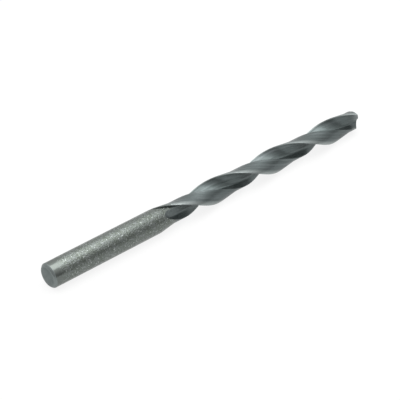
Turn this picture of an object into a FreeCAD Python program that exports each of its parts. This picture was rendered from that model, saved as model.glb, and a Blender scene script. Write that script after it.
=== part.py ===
import FreeCAD, Part
import math
import os

# A twist drill bit with two right-hand flutes and a plain round shank, in one solid.
# It lies along X: the origin is the middle of the shank's end face, +X runs along
# the axis to the point and +Z is up. All sizes are in millimetres and degrees.

# The whole bar: its shank is a little thinner than the drill, so that a worn end still passes
drill_diameter = 6.35
shank_diameter = 6.3
overall_length = 101.6
shank_end_chamfer = 0.5

# The shank ends in a shoulder, along which the lands fall away and the margins rise
shank_length = 31.8
shoulder_length = 4.7

# The flutes: they rise out of the bar over the run-out, which ends just past the shank
runout_past_shank = 1.4
flute_runout = 6.5
helix_lead = 40.3
tip_corner_angle = 147.0
heel_angle = 90.0
web_at_point = 0.9
web_at_runout = 1.33
flute_bottom_fullness = 0.25
flute_wall_share = 0.3

# The lands: a narrow margin at full diameter, a slope behind it, then a round core
margin_angle = 5.2
margin_slope_angle = 45.0
body_clearance_depth = 0.65

# The point
point_angle = 118.0
lip_relief_angle = 11.0
chisel_lead_angle = 50.0
chisel_face_angle = 25.0

# The grinding wheels' room outside the bar, past its ends and beside what they leave
wheel_reach_share = 1.35
wheel_overrun = 1.5
wheel_clearance_angle = 1.0
wheel_lead_share = 0.12
slope_overrun_share = 1.15

# How closely the smooth surfaces follow their formulas
section_turn = 30.0
runout_sections = 6
face_points = 8
slope_points = 5
rim_points = 5
flank_points = 9

half_circle = 180.0
radius = drill_diameter / 2
shank_radius = shank_diameter / 2
body_radius = radius - body_clearance_depth
wheel_reach = radius * wheel_reach_share
shoulder_end = shank_length + shoulder_length
flute_start = shank_length + runout_past_shank
beyond_point = overall_length + wheel_overrun
twist_per_mm = 2 * half_circle / helix_lead
point_slope = 1.0 / math.tan(math.radians(point_angle / 2))
lip_corner_angle = tip_corner_angle - twist_per_mm * radius * point_slope
centre = FreeCAD.Vector(0, 0, 0)
axis = FreeCAD.Vector(1, 0, 0)


def polar(distance, angle):
    """Point of a section, its angle counted from +Y towards +Z."""
    turn = math.radians(angle)
    return FreeCAD.Vector(0, distance * math.cos(turn), distance * math.sin(turn))


def spline(points):
    """Smooth edge through the points, with evenly spaced parameters."""
    curve = Part.BSplineCurve()
    steps = [index / (len(points) - 1) for index in range(len(points))]
    curve.interpolate(Points=points, Parameters=steps)
    return curve.toShape()


def between(first, last, count):
    """Evenly spaced values from the first to the last."""
    return [first + (last - first) * index / (count - 1) for index in range(count)]


def turned(shape, angle):
    """The same shape turned about the drill's axis."""
    copy = shape.copy()
    copy.rotate(centre, axis, angle)
    return copy


def at_station(section, along):
    """A section turned by the helix and set at its place along the axis."""
    placed = turned(section, tip_corner_angle - twist_per_mm * (overall_length - along))
    placed.translate(axis * along)
    return placed


def steady_stations(first):
    """Places along the axis, a steady turn apart, to past the point."""
    steps = int(math.ceil((beyond_point - first) * twist_per_mm / section_turn))
    return between(first, beyond_point, steps + 1)


def rim(first_angle, last_angle):
    """Outer edge of a wheel's section, clear of the bar."""
    return spline([polar(wheel_reach, angle) for angle in between(first_angle, last_angle, rim_points)])


def half_web(along):
    """Half the web, which thickens evenly from the point to the run-out."""
    share = (overall_length - along) / (overall_length - flute_start)
    return (web_at_point + (web_at_runout - web_at_point) * share) / 2


def lip_face_angle(distance, web):
    """Where the flute's face lies, so that the ground point gives it a straight lip."""
    sweep = math.sqrt(radius ** 2 - web ** 2) - math.sqrt(distance ** 2 - web ** 2)
    bend = math.asin(web / distance) - math.asin(web / radius)
    return math.degrees(bend) - twist_per_mm * point_slope * sweep


def flute_section(along):
    """Section of the wheel that grinds one flute, lifted out of the bar at the run-out."""
    web = half_web(along)
    half_chords = between(math.sqrt(wheel_reach ** 2 - web ** 2), 0.0, face_points)
    distances = [math.hypot(half_chord, web) for half_chord in half_chords]
    face = [polar(distance, lip_face_angle(distance, web)) for distance in distances]
    bottom = face[-1]
    bottom_angle = lip_face_angle(web, web)
    rounding = polar(flute_bottom_fullness * radius, bottom_angle + half_circle / 2)
    outside = polar(wheel_reach, heel_angle)
    wall = Part.BezierCurve()
    wall.setPoles([bottom, bottom + rounding, outside * flute_wall_share, outside])
    closing = rim(heel_angle, lip_face_angle(wheel_reach, web))
    section = Part.Wire([spline(face), wall.toShape(), closing])
    past = max((flute_start + flute_runout - along) / flute_runout, 0.0)
    section.translate(polar((radius - web) * past ** 2, bottom_angle))
    return at_station(section, along)


def flute_space():
    """Space of one flute, from its run-out to past the point."""
    first = flute_start - wheel_lead_share * flute_runout
    full_depth = flute_start + flute_runout
    places = between(first, full_depth, runout_sections) + steady_stations(full_depth)[1:]
    return Part.makeLoft([flute_section(along) for along in places], True)


def relief_section(along):
    """Section of the room between two margins, which slopes down behind the first one."""
    first = -wheel_clearance_angle
    slope_end = margin_angle + slope_overrun_share * margin_slope_angle
    last = half_circle - wheel_clearance_angle
    slope = []
    for behind in between(first, slope_end, slope_points):
        fall = body_clearance_depth * (behind - margin_angle) / margin_slope_angle
        slope.append(polar(radius - fall, -behind))
    inside = slope[-1].Length
    floor = Part.Arc(slope[-1], polar(inside, -(slope_end + last) / 2), polar(inside, -last))
    back = Part.LineSegment(polar(inside, -last), polar(wheel_reach, -last))
    front = Part.LineSegment(polar(wheel_reach, -first), slope[0])
    edges = [spline(slope), floor.toShape(), back.toShape(), rim(-last, -first), front.toShape()]
    return at_station(Part.Wire(edges), along)


def relief_space():
    """What is ground off behind one margin, down to a round core with a tapered shoulder."""
    core_length = beyond_point + wheel_overrun - shoulder_end
    core = Part.makeCylinder(body_radius, core_length, axis * shoulder_end, axis)
    shoulder = Part.makeCone(shank_radius, body_radius, shoulder_length, axis * shank_length, axis)
    sections = [relief_section(along) for along in steady_stations(shank_length)]
    return Part.makeLoft(sections, True).cut(core.fuse(shoulder))


def shank_space():
    """What is turned off around the shank, up to where the margins have their full height."""
    outline = Part.makePolygon([
        FreeCAD.Vector(-wheel_overrun, shank_radius, 0),
        FreeCAD.Vector(shank_length, shank_radius, 0),
        FreeCAD.Vector(shoulder_end, radius, 0),
        FreeCAD.Vector(shoulder_end, wheel_reach, 0),
        FreeCAD.Vector(-wheel_overrun, wheel_reach, 0),
        FreeCAD.Vector(-wheel_overrun, shank_radius, 0),
    ])
    return Part.Face(outline).revolve(centre, axis, 2 * half_circle)


def flank_slope(behind):
    """How steeply a flank falls from the centre, at an angle behind the lip's corner."""
    return point_slope + math.tan(math.radians(lip_relief_angle)) * math.radians(behind)


def point_space():
    """Everything in front of the two relieved flanks, which meet at the chisel edge."""
    first = -chisel_lead_angle
    last = half_circle - chisel_face_angle - chisel_lead_angle
    depth = wheel_reach * flank_slope(last)
    base_place = axis * (overall_length - depth)
    flank = []
    for behind in between(first, last, flank_points):
        flank.append(polar(depth / flank_slope(behind), lip_corner_angle - behind))
    near_side = spline(flank)
    near_join = Part.LineSegment(flank[-1], centre - flank[0]).toShape()
    far_side = turned(near_side, half_circle)
    far_join = turned(near_join, half_circle)
    base = Part.Wire([near_side, near_join, far_side, far_join])
    base.translate(base_place)
    flanks = Part.makeLoft([base, Part.Vertex(axis * overall_length)], True, True)
    room = Part.makeCylinder(wheel_reach, depth + wheel_overrun, base_place, axis)
    return room.cut(flanks)


def twist_drill():
    """A round bar with its flutes, shank, clearances and point ground, and its end chamfered."""
    bar = Part.makeCylinder(radius, overall_length + wheel_overrun / 2, centre, axis)
    seam_angle = half_circle / 2
    drill = turned(bar, seam_angle)
    flute = flute_space()
    relief = relief_space()
    for space in (flute, turned(flute, half_circle), relief, turned(relief, half_circle)):
        drill = drill.cut(space)
    drill = drill.cut(shank_space()).cut(point_space())
    end_edges = [edge for edge in drill.Edges if edge.BoundBox.XMax < shank_end_chamfer]
    return drill.makeChamfer(shank_end_chamfer, end_edges)


os.makedirs("parts", exist_ok=True)
twist_drill().exportStep("parts/drill_bit.step")
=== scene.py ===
import bmesh
import bpy
import math
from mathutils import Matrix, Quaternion, Vector


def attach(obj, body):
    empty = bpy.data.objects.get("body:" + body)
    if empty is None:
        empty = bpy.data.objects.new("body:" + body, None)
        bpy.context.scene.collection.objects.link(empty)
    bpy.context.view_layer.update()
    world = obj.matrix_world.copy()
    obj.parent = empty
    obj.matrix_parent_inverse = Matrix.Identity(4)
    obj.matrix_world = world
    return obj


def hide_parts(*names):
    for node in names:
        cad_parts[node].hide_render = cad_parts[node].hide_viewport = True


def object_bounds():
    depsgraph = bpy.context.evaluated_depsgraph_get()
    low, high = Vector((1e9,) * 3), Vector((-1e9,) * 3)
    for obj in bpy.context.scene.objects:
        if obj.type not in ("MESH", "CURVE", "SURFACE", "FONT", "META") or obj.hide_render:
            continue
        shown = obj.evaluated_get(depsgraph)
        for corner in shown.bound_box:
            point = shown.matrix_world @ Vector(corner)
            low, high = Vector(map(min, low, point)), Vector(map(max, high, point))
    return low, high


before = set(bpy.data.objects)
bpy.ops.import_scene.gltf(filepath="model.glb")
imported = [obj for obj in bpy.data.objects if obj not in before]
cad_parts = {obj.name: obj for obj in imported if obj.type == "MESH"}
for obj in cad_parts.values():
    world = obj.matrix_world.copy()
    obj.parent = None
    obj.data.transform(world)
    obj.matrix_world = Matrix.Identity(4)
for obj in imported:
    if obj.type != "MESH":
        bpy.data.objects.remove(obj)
cad_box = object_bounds()

# The drill is one bar of high-speed steel. Its skin is the solid's own, with the seams closed, the
# curved faces shaded smooth and the ground edges left sharp. The chamfer at the shank's end is
# turned once more with round edges, as the chuck has worn them. All sizes are in millimetres.
MM = 0.001
SHANK_RADIUS = 3.15
END_CHAMFER = 0.5
CHAMFER_TURN = math.radians(45)
END_WEAR = 0.15
WEAR_STEPS = 3
SMOOTH_EDGE_ANGLE = math.radians(25)
SEAM_GAP = 0.0005

bpy.ops.object.select_all(action="DESELECT")
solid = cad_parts["drill_bit"]
solid.select_set(True)
bpy.context.view_layer.objects.active = solid
bpy.ops.object.duplicate()
drill = bpy.context.object
drill.name = "drill_skin"
bpy.ops.object.mode_set(mode="EDIT")
bpy.ops.mesh.select_all(action="SELECT")
bpy.ops.mesh.customdata_custom_splitnormals_clear()
bpy.ops.mesh.remove_doubles(threshold=SEAM_GAP * MM)
bpy.ops.mesh.select_all(action="DESELECT")
bpy.ops.object.mode_set(mode="OBJECT")
skin = bmesh.new()
skin.from_mesh(drill.data)
old_end = [face for face in skin.faces if face.calc_center_median().x < END_CHAMFER * MM]
bmesh.ops.delete(skin, geom=old_end, context="FACES")
rim = {corner for side in skin.edges if side.is_boundary for corner in side.verts}
ring = sorted(rim, key=lambda corner: math.atan2(corner.co.z, corner.co.y))
turns = [math.atan2(corner.co.z, corner.co.y) for corner in ring]
wear_radius = END_WEAR / math.tan(CHAMFER_TURN / 2)
worn_edges = ((END_CHAMFER + END_WEAR, SHANK_RADIUS - wear_radius),
              (wear_radius, SHANK_RADIUS - END_CHAMFER - END_WEAR))
# The rim moves back to where the wear begins, and rings of new faces lead from it to the end
for edge, (middle_x, middle_radius) in enumerate(worn_edges):
    for step in range(WEAR_STEPS + 1):
        slope = CHAMFER_TURN * (edge + step / WEAR_STEPS)
        x = (middle_x - wear_radius * math.sin(slope)) * MM
        radius = (middle_radius + wear_radius * math.cos(slope)) * MM
        places = [(x, radius * math.cos(turn), radius * math.sin(turn)) for turn in turns]
        if edge + step == 0:
            for corner, place in zip(ring, places):
                corner.co = place
        else:
            last = ring
            ring = [skin.verts.new(place) for place in places]
            for index in range(len(ring)):
                skin.faces.new((last[index - 1], last[index], ring[index], ring[index - 1]))
skin.faces.new(ring)
bmesh.ops.recalc_face_normals(skin, faces=skin.faces)
skin.to_mesh(drill.data)
skin.free()
bpy.ops.object.shade_smooth_by_angle(angle=SMOOTH_EDGE_ANGLE)
drill.data.materials.clear()

# The shank is high-speed steel as heat treatment left it, under a thin and tight grey scale. It
# looks frosted and sparkles where it turns to the lamp, with faint blotches, and with bright
# specks where the scale has worn off. The first millimetres at its end are rubbed smooth.
SCALE_DARK = "#6A706C"
SCALE_LIGHT = "#7F8484"
GRAIN_SHADE = "#60665F"
BARE_SPECK = "#A3A9A6"
CLEAN_GREY = "#6A6F6C"
# The real grain is finer than a pixel, so it is drawn about four times coarser, and deeper to match
SCALE_GRAIN = 0.32
SCALE_RELIEF = 0.1
BLOTCH_SIZE = 1.5
SPECK_SIZE = 0.36
CLEAN_END = 1.3
CLEAN_END_FADE = 1.8
CLEAN_END_SWAY = 3.0
CLEAN_END_SLANT = 0.3
CLEAN_DULLNESS = 0.22
# Noise keeps near one half, so the range of a finish is drawn from the middle of the noise
SCALE_DULLNESS = {"From Min": 0.3, "From Max": 0.7, "To Min": 0.24, "To Max": 0.34}
SCALE_SPREAD = {"From Min": 0.36, "From Max": 0.64}
SPECK_SPREAD = {"From Min": 0.62, "From Max": 0.72}
# How far the noise of a pattern is broken up into finer noise
GRAINY = {"Detail": 2.0, "Roughness": 0.6}
CLOUDY = {"Detail": 3.0, "Roughness": 0.6}
# The numbers of a Mix node's inputs, and of its output for colours
SHARE, NUMBER_A, NUMBER_B, COLOUR_A, COLOUR_B = 0, 2, 3, 6, 7
MIXED = 2


def linear(hex_colour):
    """An sRGB hex colour as the linear values that a socket takes."""
    values = [int(hex_colour[place:place + 2], 16) / 255 for place in (1, 3, 5)]
    return [v / 12.92 if v <= 0.04045 else ((v + 0.055) / 1.055) ** 2.4 for v in values] + [1.0]


def node(owner, kind, settings, links):
    """Adds a node with its settings and links. Inputs go by name, or by number where names repeat."""
    made = owner.node_tree.nodes.new(kind)
    for name, value in settings.items():
        if isinstance(name, int) or name in made.inputs:
            made.inputs[name].default_value = value
        else:
            setattr(made, name, value)
    for name, source in links.items():
        owner.node_tree.links.new(source, made.inputs[name])
    return made


def new_steel(name):
    """A bare steel of the drill, and its shader."""
    material = bpy.data.materials.new(name)
    material.use_nodes = True
    shader = material.node_tree.nodes["Principled BSDF"]
    shader.inputs["Metallic"].default_value = 1.0
    drill.data.materials.append(material)
    return material, shader


def dress(material, shader, colour, dullness, height, relief):
    """Gives a steel its colour, its roughness and a relief of a depth in millimetres."""
    bump = node(material, "ShaderNodeBump", {"Strength": 1.0, "Distance": relief * MM}, {"Height": height})
    for name, source in (("Base Color", colour), ("Roughness", dullness), ("Normal", bump.outputs[0])):
        material.node_tree.links.new(source, shader.inputs[name])


shank_steel, shader = new_steel("heat_treated_scaled_steel")
place = node(shank_steel, "ShaderNodeTexCoord", {}, {}).outputs["Object"]
grain = node(shank_steel, "ShaderNodeTexNoise",
             {"Scale": 1 / (SCALE_GRAIN * MM), **GRAINY}, {"Vector": place}).outputs[0]
blotch = node(shank_steel, "ShaderNodeTexNoise",
              {"Scale": 1 / (BLOTCH_SIZE * MM), **CLOUDY}, {"Vector": place}).outputs[0]
speck = node(shank_steel, "ShaderNodeTexNoise",
             {"Scale": 1 / (SPECK_SIZE * MM), "Detail": 1.0, "Distortion": 0.6},
             {"Vector": place}).outputs[0]
along = node(shank_steel, "ShaderNodeVectorMath",
             {"operation": "DOT_PRODUCT", 1: (1.0, 0.0, -CLEAN_END_SLANT)}, {0: place}).outputs["Value"]
sway = node(shank_steel, "ShaderNodeMath",
            {"operation": "MULTIPLY_ADD", 1: CLEAN_END_SWAY * MM}, {0: blotch, 2: along}).outputs[0]
scaled = node(shank_steel, "ShaderNodeMapRange",
              {"From Min": (CLEAN_END + CLEAN_END_SWAY / 2) * MM,
               "From Max": (CLEAN_END + CLEAN_END_SWAY / 2 + CLEAN_END_FADE) * MM},
              {"Value": sway}).outputs[0]
patches = node(shank_steel, "ShaderNodeMapRange", SCALE_SPREAD, {"Value": blotch}).outputs[0]
frost = node(shank_steel, "ShaderNodeMapRange", SCALE_SPREAD, {"Value": grain}).outputs[0]
worn = node(shank_steel, "ShaderNodeMapRange", SPECK_SPREAD, {"Value": speck}).outputs[0]
colour = node(shank_steel, "ShaderNodeMix",
              {"data_type": "RGBA", COLOUR_A: linear(SCALE_DARK), COLOUR_B: linear(SCALE_LIGHT)},
              {SHARE: patches}).outputs[MIXED]
colour = node(shank_steel, "ShaderNodeMix", {"data_type": "RGBA", COLOUR_A: linear(GRAIN_SHADE)},
              {SHARE: frost, COLOUR_B: colour}).outputs[MIXED]
colour = node(shank_steel, "ShaderNodeMix", {"data_type": "RGBA", COLOUR_B: linear(BARE_SPECK)},
              {SHARE: worn, COLOUR_A: colour}).outputs[MIXED]
colour = node(shank_steel, "ShaderNodeMix", {"data_type": "RGBA", COLOUR_A: linear(CLEAN_GREY)},
              {SHARE: scaled, COLOUR_B: colour}).outputs[MIXED]
dullness = node(shank_steel, "ShaderNodeMapRange", SCALE_DULLNESS, {"Value": blotch}).outputs[0]
dullness = node(shank_steel, "ShaderNodeMix", {NUMBER_A: CLEAN_DULLNESS},
                {SHARE: scaled, NUMBER_B: dullness}).outputs[0]
height = node(shank_steel, "ShaderNodeMath", {"operation": "MULTIPLY"}, {0: grain, 1: scaled}).outputs[0]
dress(shank_steel, shader, colour, dullness, height, SCALE_RELIEF)

# The flutes and the backs of the lands are ground out of the hard bar and left as ground: a satin
# grey under a thin oxide film, with streaks along the helix and faint stains. Shade is painted into
# its colour, darker towards the bottom of the flutes, and it is rubbed lighter towards the cutting edges.
LINE_DARK = "#4B5352"
LINE_LIGHT = "#757C7D"
STAIN_SHADE = "#5E6666"
# The colour of the painted shade at the bottom of the flutes
PAINTED_DEEP_SHADE = "#4A5352"
RUBBED_LIGHT = "#8E9594"
HELIX_LEAD = 40.3
# The wheel's real lines are finer than a pixel, so they are drawn ten times coarser, and deeper
GRIND_LINE = 0.6
GRIND_LINE_LENGTH = 20.0
GRIND_RELIEF = 0.03
STAIN_SIZE = 3.0
# Distances from the axis where the rubbed metal and the painted shade begin, and where they are complete
RUBBED_FROM = 2.9
RUBBED_TO = 3.12
DEEP_FROM = 2.5
DEEP_TO = 1.3
DEEP_SHARE = 0.35
FILMED_METAL = 0.86
GROUND_DULLNESS = {"From Min": 0.3, "From Max": 0.7, "To Min": 0.3, "To Max": 0.42}
NOISE_SPREAD = {"From Min": 0.35, "From Max": 0.65}
# For a Mapping node, which then leaves only what lies across the axis
ACROSS = {"Scale": (0.0, 1.0, 1.0)}

flute_steel, shader = new_steel("helically_ground_steel")
shader.inputs["Metallic"].default_value = FILMED_METAL
place = node(flute_steel, "ShaderNodeTexCoord", {}, {}).outputs["Object"]
along = node(flute_steel, "ShaderNodeSeparateXYZ", {}, {"Vector": place}).outputs["X"]
unwind = node(flute_steel, "ShaderNodeMath",
              {"operation": "MULTIPLY", 1: -2 * math.pi / (HELIX_LEAD * MM)}, {0: along}).outputs[0]
straight = node(flute_steel, "ShaderNodeVectorRotate", {"rotation_type": "X_AXIS"},
                {"Vector": place, "Angle": unwind}).outputs[0]
stretched = node(flute_steel, "ShaderNodeMapping",
                 {"Scale": (GRIND_LINE / GRIND_LINE_LENGTH, 1.0, 1.0)}, {"Vector": straight}).outputs[0]
line = node(flute_steel, "ShaderNodeTexNoise",
            {"Scale": 1 / (GRIND_LINE * MM), **CLOUDY}, {"Vector": stretched}).outputs[0]
stain = node(flute_steel, "ShaderNodeTexNoise",
             {"Scale": 1 / (STAIN_SIZE * MM), **CLOUDY}, {"Vector": place}).outputs[0]
across = node(flute_steel, "ShaderNodeMapping", ACROSS, {"Vector": place}).outputs[0]
distance = node(flute_steel, "ShaderNodeVectorMath", {"operation": "LENGTH"}, {0: across}).outputs["Value"]
rubbed = node(flute_steel, "ShaderNodeMapRange",
              {"From Min": RUBBED_FROM * MM, "From Max": RUBBED_TO * MM},
              {"Value": distance}).outputs[0]
tone = node(flute_steel, "ShaderNodeMapRange", NOISE_SPREAD, {"Value": line}).outputs[0]
cloud = node(flute_steel, "ShaderNodeMapRange", NOISE_SPREAD, {"Value": stain}).outputs[0]
colour = node(flute_steel, "ShaderNodeMix",
              {"data_type": "RGBA", COLOUR_A: linear(LINE_DARK), COLOUR_B: linear(LINE_LIGHT)},
              {SHARE: tone}).outputs[MIXED]
colour = node(flute_steel, "ShaderNodeMix", {"data_type": "RGBA", COLOUR_A: linear(STAIN_SHADE)},
              {SHARE: cloud, COLOUR_B: colour}).outputs[MIXED]
# Painted shade: the colour darkens towards the bottom of the flutes, near the axis
painted_deep_shade = node(flute_steel, "ShaderNodeMapRange",
            {"From Min": DEEP_FROM * MM, "From Max": DEEP_TO * MM, "To Max": DEEP_SHARE},
            {"Value": distance}).outputs[0]
colour = node(flute_steel, "ShaderNodeMix", {"data_type": "RGBA", COLOUR_B: linear(PAINTED_DEEP_SHADE)},
              {SHARE: painted_deep_shade, COLOUR_A: colour}).outputs[MIXED]
colour = node(flute_steel, "ShaderNodeMix", {"data_type": "RGBA", COLOUR_B: linear(RUBBED_LIGHT)},
              {SHARE: rubbed, COLOUR_A: colour}).outputs[MIXED]
dullness = node(flute_steel, "ShaderNodeMapRange", GROUND_DULLNESS, {"Value": stain}).outputs[0]
dress(flute_steel, shader, colour, dullness, line, GRIND_RELIEF)

# The margins are the only part of the body at full diameter. They are ground round, and then
# rubbed bright by the walls of the holes, which leaves short marks around the drill.
MARK_DARK = "#858C8C"
MARK_LIGHT = "#9EA5A4"
# The real marks are fine scratches, so they are drawn about ten times coarser
RUB_MARK = 0.3
RUB_MARK_LENGTH = 1.5
RUB_RELIEF = 0.006
RUBBED_DULLNESS = {"From Min": 0.3, "From Max": 0.7, "To Min": 0.34, "To Max": 0.22}

margin_steel, shader = new_steel("rubbed_margin_steel")
place = node(margin_steel, "ShaderNodeTexCoord", {}, {}).outputs["Object"]
around = node(margin_steel, "ShaderNodeMapping",
              {"Scale": (1.0, RUB_MARK / RUB_MARK_LENGTH, RUB_MARK / RUB_MARK_LENGTH)},
              {"Vector": place}).outputs[0]
mark = node(margin_steel, "ShaderNodeTexNoise",
            {"Scale": 1 / (RUB_MARK * MM), **GRAINY}, {"Vector": around}).outputs[0]
tone = node(margin_steel, "ShaderNodeMapRange", NOISE_SPREAD, {"Value": mark}).outputs[0]
colour = node(margin_steel, "ShaderNodeMix",
              {"data_type": "RGBA", COLOUR_A: linear(MARK_DARK), COLOUR_B: linear(MARK_LIGHT)},
              {SHARE: tone}).outputs[MIXED]
dullness = node(margin_steel, "ShaderNodeMapRange", RUBBED_DULLNESS, {"Value": mark}).outputs[0]
dress(margin_steel, shader, colour, dullness, mark, RUB_RELIEF)

# The two flanks of the point are ground last, one after the other. They are about as bright as the
# margins, and the wheel's lines run across them.
POINT_DARK = "#868C8A"
POINT_LIGHT = "#9CA19F"
# These lines too are drawn about ten times coarser than they are
POINT_LINE = 0.25
POINT_LINE_LENGTH = 3.0
POINT_RELIEF = 0.008
POINT_DULLNESS = {"From Min": 0.3, "From Max": 0.7, "To Min": 0.24, "To Max": 0.34}

point_steel, shader = new_steel("ground_point_steel")
place = node(point_steel, "ShaderNodeTexCoord", {}, {}).outputs["Object"]
stretched = node(point_steel, "ShaderNodeMapping",
                 {"Scale": (1.0, 1.0, POINT_LINE / POINT_LINE_LENGTH)}, {"Vector": place}).outputs[0]
line = node(point_steel, "ShaderNodeTexNoise",
            {"Scale": 1 / (POINT_LINE * MM), **GRAINY}, {"Vector": stretched}).outputs[0]
tone = node(point_steel, "ShaderNodeMapRange", NOISE_SPREAD, {"Value": line}).outputs[0]
colour = node(point_steel, "ShaderNodeMix",
              {"data_type": "RGBA", COLOUR_A: linear(POINT_DARK), COLOUR_B: linear(POINT_LIGHT)},
              {SHARE: tone}).outputs[MIXED]
dullness = node(point_steel, "ShaderNodeMapRange", POINT_DULLNESS, {"Value": line}).outputs[0]
dress(point_steel, shader, colour, dullness, line, POINT_RELIEF)

# The shank's end face was faced off in the lathe, which leaves fine rings about the axis. It has
# darkened in uneven clouds, but for its rim, which is rubbed light.
TARNISH_DARK = "#5A6362"
TARNISH_LIGHT = "#6C7473"
RIM_LIGHT = "#7C8382"
# The real rings are finer than a pixel, so they are drawn a few times coarser
FACING_RING = 0.25
FACING_RELIEF = 0.006
RIM_START = 2.2
RIM_FADE = 0.5
TARNISH_SIZE = 1.2
FACED_DULLNESS = {"From Min": 0.3, "From Max": 0.7, "To Min": 0.34, "To Max": 0.46}

end_steel, shader = new_steel("faced_end_steel")
place = node(end_steel, "ShaderNodeTexCoord", {}, {}).outputs["Object"]
across = node(end_steel, "ShaderNodeMapping", ACROSS, {"Vector": place}).outputs[0]
distance = node(end_steel, "ShaderNodeVectorMath", {"operation": "LENGTH"}, {0: across}).outputs["Value"]
ring = node(end_steel, "ShaderNodeTexNoise",
            {"noise_dimensions": "1D", "Scale": 1 / (FACING_RING * MM), "Detail": 1.0},
            {"W": distance}).outputs[0]
tarnish = node(end_steel, "ShaderNodeTexNoise",
               {"Scale": 1 / (TARNISH_SIZE * MM), "Detail": 3.0}, {"Vector": place}).outputs[0]
rim = node(end_steel, "ShaderNodeMapRange",
           {"From Min": RIM_START * MM, "From Max": (RIM_START + RIM_FADE) * MM},
           {"Value": distance}).outputs[0]
cloud = node(end_steel, "ShaderNodeMapRange", NOISE_SPREAD, {"Value": tarnish}).outputs[0]
colour = node(end_steel, "ShaderNodeMix",
              {"data_type": "RGBA", COLOUR_A: linear(TARNISH_DARK), COLOUR_B: linear(TARNISH_LIGHT)},
              {SHARE: cloud}).outputs[MIXED]
colour = node(end_steel, "ShaderNodeMix", {"data_type": "RGBA", COLOUR_B: linear(RIM_LIGHT)},
              {SHARE: rim, COLOUR_A: colour}).outputs[MIXED]
dullness = node(end_steel, "ShaderNodeMapRange", FACED_DULLNESS, {"Value": tarnish}).outputs[0]
dress(end_steel, shader, colour, dullness, ring, FACING_RELIEF)

# Each face gets the steel of the tool that cut it, by its place along the drill, its distance from
# the axis and the way it faces. The solid under the skin is hidden, and has the flutes' steel.
END_CUT_LENGTH = 0.55
MARGIN_START = 36.5
MARGIN_FLOOR = 3.1
POINT_START = 97.0
POINT_FACING = 0.35
ROUND_FACING = 0.97

for face in drill.data.polygons:
    centre = face.center / MM
    across = Vector((0, centre.y, centre.z))
    outward = face.normal.dot(across.normalized())
    if centre.x < END_CUT_LENGTH:
        steel = end_steel
    elif centre.x > POINT_START and face.normal.x > POINT_FACING:
        steel = point_steel
    elif centre.x < MARGIN_START and outward > ROUND_FACING:
        steel = shank_steel
    elif centre.x > MARGIN_START and across.length > MARGIN_FLOOR and outward > ROUND_FACING:
        steel = margin_steel
    else:
        steel = flute_steel
    face.material_index = drill.data.materials.find(steel.name)
solid.data.materials.clear()
solid.data.materials.append(flute_steel)

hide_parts("drill_bit")
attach(drill, "root")

# The floor is a plain white sheet, and the drill lies on it on its margins. To the camera and in
# the steel's reflections most of its white is its own light, so that it stays white, and the rest
# shows the drill's soft shadow.
FLOOR_WIDTH = 3000.0
FLOOR_MIDDLE = 50.0
PAPER_WHITE = "#EBEBEB"
PAPER_DULLNESS = 0.9
OWN_LIGHT = 0.85

bpy.ops.mesh.primitive_plane_add(size=FLOOR_WIDTH * MM, location=(FLOOR_MIDDLE * MM, 0, cad_box[0][2]))
floor = bpy.context.object
floor.name = "floor"
paper = bpy.data.materials.new("white_paper")
paper.use_nodes = True
shader = paper.node_tree.nodes["Principled BSDF"]
shader.inputs["Base Color"].default_value = linear(PAPER_WHITE)
shader.inputs["Roughness"].default_value = PAPER_DULLNESS
shader.inputs["Specular IOR Level"].default_value = 0.0
rays = node(paper, "ShaderNodeLightPath", {}, {})
seen = rays.outputs["Is Camera Ray"]
for kind in ("Is Glossy Ray", "Is Transmission Ray"):
    seen = node(paper, "ShaderNodeMath",
                {"operation": "MAXIMUM"}, {0: seen, 1: rays.outputs[kind]}).outputs[0]
own = node(paper, "ShaderNodeMath", {"operation": "MULTIPLY", 1: OWN_LIGHT}, {0: seen}).outputs[0]
glow = node(paper, "ShaderNodeEmission", {"Strength": 1.0}, {}).outputs[0]
sheet = node(paper, "ShaderNodeMixShader", {}, {0: own, 1: shader.outputs[0], 2: glow}).outputs[0]
paper.node_tree.links.new(sheet, paper.node_tree.nodes["Material Output"].inputs["Surface"])
floor.data.materials.append(paper)

# The light is that of a small light tent: a broad soft lamp overhead, and cloth that is dim at the
# level of the drill and lighter towards the top. It is also lighter behind the drill, and a little
# lighter on the side of its point.
LAMP_WIDTH = 460.0
LAMP_HEIGHT = 500.0
LAMP_ALONG = 130.0
LAMP_RADIANCE = 2.0
LOW_CLOTH = 0.28
TOP_CLOTH = 1.5
BACK_CLOTH = 0.5
SIDE_CLOTH = 0.25

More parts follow.
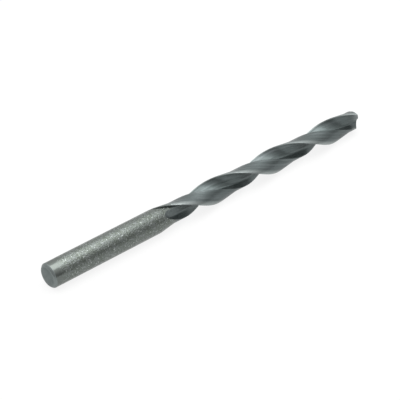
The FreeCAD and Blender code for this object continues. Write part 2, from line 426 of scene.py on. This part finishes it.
world = bpy.data.worlds.new("light_tent")
bpy.context.scene.world = world
world.use_nodes = True
sky = world.node_tree.nodes["Background"]
sky.inputs["Color"].default_value = (1, 1, 1, 1)
direction = node(world, "ShaderNodeTexCoord", {}, {}).outputs["Generated"]
parts = node(world, "ShaderNodeSeparateXYZ", {}, {"Vector": direction}).outputs
upper = node(world, "ShaderNodeMath",
             {"operation": "MULTIPLY"}, {0: parts["Z"], 1: parts["Z"]}).outputs[0]
cloth = node(world, "ShaderNodeMath",
             {"operation": "MULTIPLY_ADD", 1: TOP_CLOTH, 2: LOW_CLOTH}, {0: upper}).outputs[0]
for side, more_light in (("Y", BACK_CLOTH), ("X", SIDE_CLOTH)):
    facing = node(world, "ShaderNodeMath",
                  {"operation": "MAXIMUM", 1: 0.0}, {0: parts[side]}).outputs[0]
    cloth = node(world, "ShaderNodeMath",
                 {"operation": "MULTIPLY_ADD", 1: more_light}, {0: facing, 2: cloth}).outputs[0]
world.node_tree.links.new(cloth, sky.inputs["Strength"])
lamp_data = bpy.data.lights.new("overhead_softbox", "AREA")
lamp_data.shape = "DISK"
lamp_data.size = LAMP_WIDTH * MM
lamp_data.energy = LAMP_RADIANCE * math.pi * math.pi * (LAMP_WIDTH * MM / 2) ** 2
lamp = bpy.data.objects.new("overhead_softbox", lamp_data)
lamp.location = (LAMP_ALONG * MM, 0, LAMP_HEIGHT * MM)
bpy.context.scene.collection.objects.link(lamp)

# The camera stands where the photograph was taken from: 36 cm from the middle of the drill, in
# front of it on the side of its shank, a third of the way up, and turned a little about its view.
# Its focal length is counted in pixels of the photograph.
LENS_PIXELS = 1458.8
PHOTO_PIXELS = 400
SENSOR = 36.0
AIM = (45.52, -0.92, 0.28)
AIM_DISTANCE = 358.5
AZIMUTH = math.radians(-38.97)
ELEVATION = math.radians(33.49)
ROLL = math.radians(-3.18)
NEAREST_SEEN = 10.0

camera_data = bpy.data.cameras.new("camera")
camera_data.sensor_width = SENSOR
camera_data.lens = SENSOR * LENS_PIXELS / PHOTO_PIXELS
camera_data.clip_start = NEAREST_SEEN * MM
camera = bpy.data.objects.new("camera", camera_data)
level = math.cos(ELEVATION)
back = Vector((math.sin(AZIMUTH) * level, -math.cos(AZIMUTH) * level, math.sin(ELEVATION)))
camera.location = Vector(AIM) * MM + back * (AIM_DISTANCE * MM)
camera.rotation_euler = (back.to_track_quat("Z", "Y") @ Quaternion((0, 0, 1), ROLL)).to_euler()
bpy.context.scene.collection.objects.link(camera)
bpy.context.scene.camera = camera

# The picture keeps the colours as they are written.
bpy.context.scene.view_settings.view_transform = "Standard"
